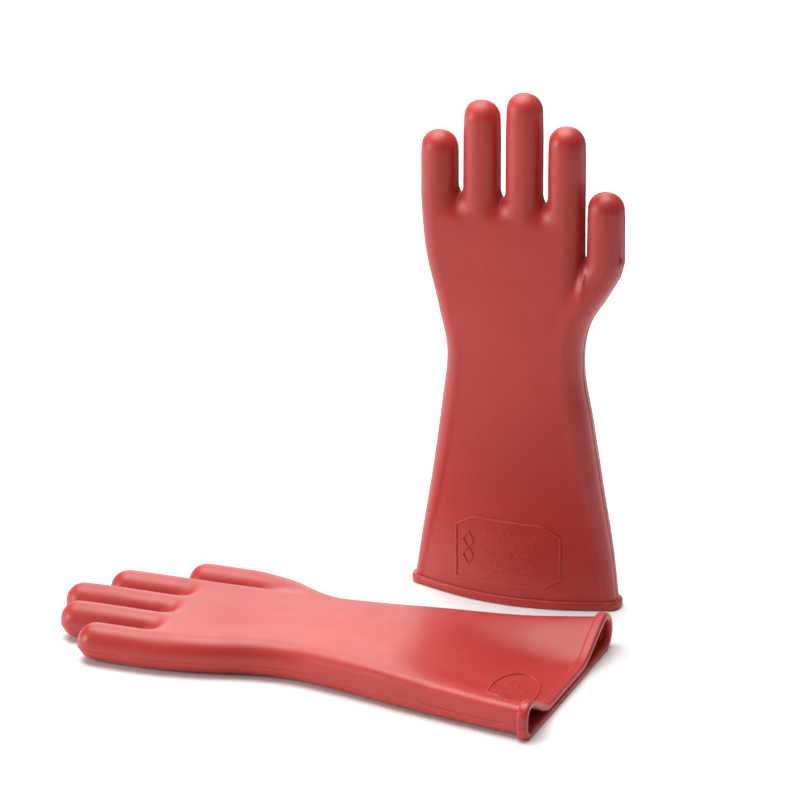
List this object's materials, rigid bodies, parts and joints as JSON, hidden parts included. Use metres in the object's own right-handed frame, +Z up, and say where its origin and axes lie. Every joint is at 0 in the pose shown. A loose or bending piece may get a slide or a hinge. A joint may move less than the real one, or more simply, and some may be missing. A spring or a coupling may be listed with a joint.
{
  "type": "electrical insulating gloves",
  "caption": "Long moulded rubber insulating gloves with flared cuffs, rolled rims and raised cuff marks: the right lies palm up, the left stands on its cuff.",
  "frame": {"origin": "middle of the pair's footprint, on the surface that both gloves stand on", "axes": "+Z up, -X towards the fingertips of the lying glove, +Y from the lying glove to the standing one"},
  "size_m": [0.38, 0.2694, 0.38],
  "materials": {
    "lying_rubber": "satin",
    "standing_rubber": "satin",
    "mark_rubber": "satin"
  },
  "bodies": {
    "right_sleeve": {"right_cuff_bead": "lying_rubber", "right_sleeve": "lying_rubber", "right_back_frame_mark": "mark_rubber", "right_palm_oval_mark": "mark_rubber"},
    "right_hand": {"right_hand": "lying_rubber"},
    "right_thumb_base": {"right_thumb_base": "lying_rubber"},
    "right_thumb_tip": {"right_thumb_tip": "lying_rubber"},
    "right_index_base": {"right_index_base": "lying_rubber"},
    "right_index_tip": {"right_index_tip": "lying_rubber"},
    "right_middle_base": {"right_middle_base": "lying_rubber"},
    "right_middle_tip": {"right_middle_tip": "lying_rubber"},
    "right_ring_base": {"right_ring_base": "lying_rubber"},
    "right_ring_tip": {"right_ring_tip": "lying_rubber"},
    "right_little_base": {"right_little_base": "lying_rubber"},
    "right_little_tip": {"right_little_tip": "lying_rubber"},
    "left_sleeve": {"left_cuff_bead": "standing_rubber", "left_sleeve": "standing_rubber", "left_back_frame_mark": "mark_rubber", "left_palm_oval_mark": "mark_rubber"},
    "left_hand": {"left_hand": "standing_rubber"},
    "left_thumb_base": {"left_thumb_base": "standing_rubber"},
    "left_thumb_tip": {"left_thumb_tip": "standing_rubber"},
    "left_index_base": {"left_index_base": "standing_rubber"},
    "left_index_tip": {"left_index_tip": "standing_rubber"},
    "left_middle_base": {"left_middle_base": "standing_rubber"},
    "left_middle_tip": {"left_middle_tip": "standing_rubber"},
    "left_ring_base": {"left_ring_base": "standing_rubber"},
    "left_ring_tip": {"left_ring_tip": "standing_rubber"},
    "left_little_base": {"left_little_base": "standing_rubber"},
    "left_little_tip": {"left_little_tip": "standing_rubber"}
  },
  "joints": [
    {"name": "right_wrist_flex", "type": "hinge", "parent": "right_sleeve", "child": "right_hand", "pos_m": [0.008, -0.0445, 0.027], "axis": [0, 1, 0], "range_deg": [0, 60], "stiffness_Nm_per_rad": 3},
    {"name": "right_thumb_root_flex", "type": "hinge", "parent": "right_hand", "child": "right_thumb_base", "pos_m": [-0.074, 0.0209, 0.0268], "axis": [0, 1, 0], "range_deg": [0, 60], "stiffness_Nm_per_rad": 0.3},
    {"name": "right_thumb_middle_flex", "type": "hinge", "parent": "right_thumb_base", "child": "right_thumb_tip", "pos_m": [-0.09985, 0.0209, 0.0268], "axis": [0, 1, 0], "range_deg": [0, 80], "stiffness_Nm_per_rad": 0.2},
    {"name": "right_index_root_flex", "type": "hinge", "parent": "right_hand", "child": "right_index_base", "pos_m": [-0.11, -0.0089, 0.0268], "axis": [0, 1, 0], "range_deg": [0, 75], "stiffness_Nm_per_rad": 0.3},
    {"name": "right_index_middle_flex", "type": "hinge", "parent": "right_index_base", "child": "right_index_tip", "pos_m": [-0.14245, -0.0089, 0.0268], "axis": [0, 1, 0], "range_deg": [0, 80], "stiffness_Nm_per_rad": 0.2},
    {"name": "right_middle_root_flex", "type": "hinge", "parent": "right_hand", "child": "right_middle_base", "pos_m": [-0.11, -0.0405, 0.0268], "axis": [0, 1, 0], "range_deg": [0, 75], "stiffness_Nm_per_rad": 0.3},
    {"name": "right_middle_middle_flex", "type": "hinge", "parent": "right_middle_base", "child": "right_middle_tip", "pos_m": [-0.154, -0.0405, 0.0268], "axis": [0, 1, 0], "range_deg": [0, 80], "stiffness_Nm_per_rad": 0.2},
    {"name": "right_ring_root_flex", "type": "hinge", "parent": "right_hand", "child": "right_ring_base", "pos_m": [-0.11, -0.0721, 0.0268], "axis": [0, 1, 0], "range_deg": [0, 75], "stiffness_Nm_per_rad": 0.3},
    {"name": "right_ring_middle_flex", "type": "hinge", "parent": "right_ring_base", "child": "right_ring_tip", "pos_m": [-0.14905, -0.0721, 0.0268], "axis": [0, 1, 0], "range_deg": [0, 80], "stiffness_Nm_per_rad": 0.2},
    {"name": "right_little_root_flex", "type": "hinge", "parent": "right_hand", "child": "right_little_base", "pos_m": [-0.11, -0.1037, 0.0268], "axis": [0, 1, 0], "range_deg": [0, 75], "stiffness_Nm_per_rad": 0.3},
    {"name": "right_little_middle_flex", "type": "hinge", "parent": "right_little_base", "child": "right_little_tip", "pos_m": [-0.13475, -0.1037, 0.0268], "axis": [0, 1, 0], "range_deg": [0, 80], "stiffness_Nm_per_rad": 0.2},
    {"name": "left_wrist_flex", "type": "hinge", "parent": "left_sleeve", "child": "left_hand", "pos_m": [0.095, 0.1295, 0.182], "axis": [-1, 0, 0], "range_deg": [0, 60], "stiffness_Nm_per_rad": 3},
    {"name": "left_thumb_root_flex", "type": "hinge", "parent": "left_hand", "child": "left_thumb_base", "pos_m": [0.1588, 0.1239, 0.264], "axis": [-1, 0, 0], "range_deg": [0, 60], "stiffness_Nm_per_rad": 0.3},
    {"name": "left_thumb_middle_flex", "type": "hinge", "parent": "left_thumb_base", "child": "left_thumb_tip", "pos_m": [0.1588, 0.1239, 0.2915], "axis": [-1, 0, 0], "range_deg": [0, 80], "stiffness_Nm_per_rad": 0.2},
    {"name": "left_index_root_flex", "type": "hinge", "parent": "left_hand", "child": "left_index_base", "pos_m": [0.1306, 0.1239, 0.3], "axis": [-1, 0, 0], "range_deg": [0, 75], "stiffness_Nm_per_rad": 0.3},
    {"name": "left_index_middle_flex", "type": "hinge", "parent": "left_index_base", "child": "left_index_tip", "pos_m": [0.1306, 0.1239, 0.33245], "axis": [-1, 0, 0], "range_deg": [0, 80], "stiffness_Nm_per_rad": 0.2},
    {"name": "left_middle_root_flex", "type": "hinge", "parent": "left_hand", "child": "left_middle_base", "pos_m": [0.099, 0.1239, 0.3], "axis": [-1, 0, 0], "range_deg": [0, 75], "stiffness_Nm_per_rad": 0.3},
    {"name": "left_middle_middle_flex", "type": "hinge", "parent": "left_middle_base", "child": "left_middle_tip", "pos_m": [0.099, 0.1239, 0.344], "axis": [-1, 0, 0], "range_deg": [0, 80], "stiffness_Nm_per_rad": 0.2},
    {"name": "left_ring_root_flex", "type": "hinge", "parent": "left_hand", "child": "left_ring_base", "pos_m": [0.0674, 0.1239, 0.3], "axis": [-1, 0, 0], "range_deg": [0, 75], "stiffness_Nm_per_rad": 0.3},
    {"name": "left_ring_middle_flex", "type": "hinge", "parent": "left_ring_base", "child": "left_ring_tip", "pos_m": [0.0674, 0.1239, 0.33905], "axis": [-1, 0, 0], "range_deg": [0, 80], "stiffness_Nm_per_rad": 0.2},
    {"name": "left_little_root_flex", "type": "hinge", "parent": "left_hand", "child": "left_little_base", "pos_m": [0.0358, 0.1239, 0.3], "axis": [-1, 0, 0], "range_deg": [0, 75], "stiffness_Nm_per_rad": 0.3},
    {"name": "left_little_middle_flex", "type": "hinge", "parent": "left_little_base", "child": "left_little_tip", "pos_m": [0.0358, 0.1239, 0.32475], "axis": [-1, 0, 0], "range_deg": [0, 80], "stiffness_Nm_per_rad": 0.2},
    {"name": "left_glove_lift", "type": "slide", "parent": "right_sleeve", "child": "left_sleeve", "axis": [0, 0, 1], "range_m": [0, 0.3]}
  ]
}
